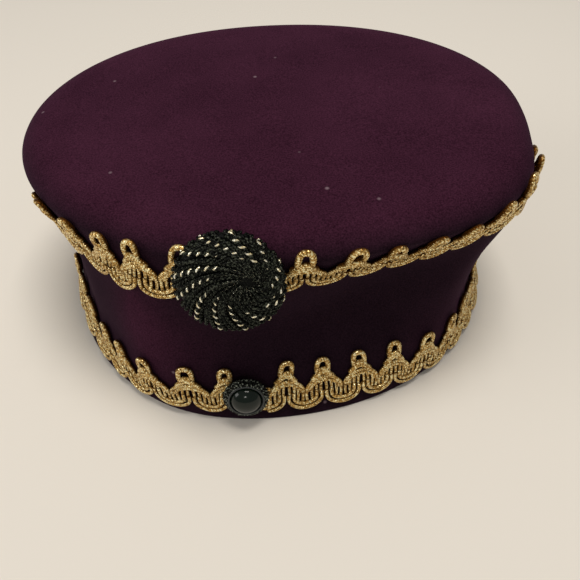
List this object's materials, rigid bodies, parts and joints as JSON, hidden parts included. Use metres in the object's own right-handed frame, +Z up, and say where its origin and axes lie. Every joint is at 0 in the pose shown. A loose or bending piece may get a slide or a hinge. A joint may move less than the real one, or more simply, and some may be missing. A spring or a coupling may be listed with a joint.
{
  "type": "fez hat",
  "caption": "Oval purple felt fez with two rows of looped gold braid, a black corded rosette and a dark cabochon button.",
  "frame": {"origin": "middle of the head opening, in the plane of the rim that the hat stands on", "axes": "+X along the oval's long axis, +Z up through the crown, the rosette and the button on the -Y side"},
  "size_m": [0.2173, 0.1952, 0.1011],
  "materials": {
    "purple_felt": "matte",
    "gold_braid": "satin",
    "black_cord": "satin",
    "black_bezel": "satin",
    "dark_stone": "gloss"
  },
  "bodies": {
    "root": {"crown": "purple_felt", "upper_braid": "gold_braid", "lower_braid": "gold_braid", "rosette": "black_cord", "button_bezel": "black_bezel", "button_stone": "dark_stone"}
  },
  "joints": []
}
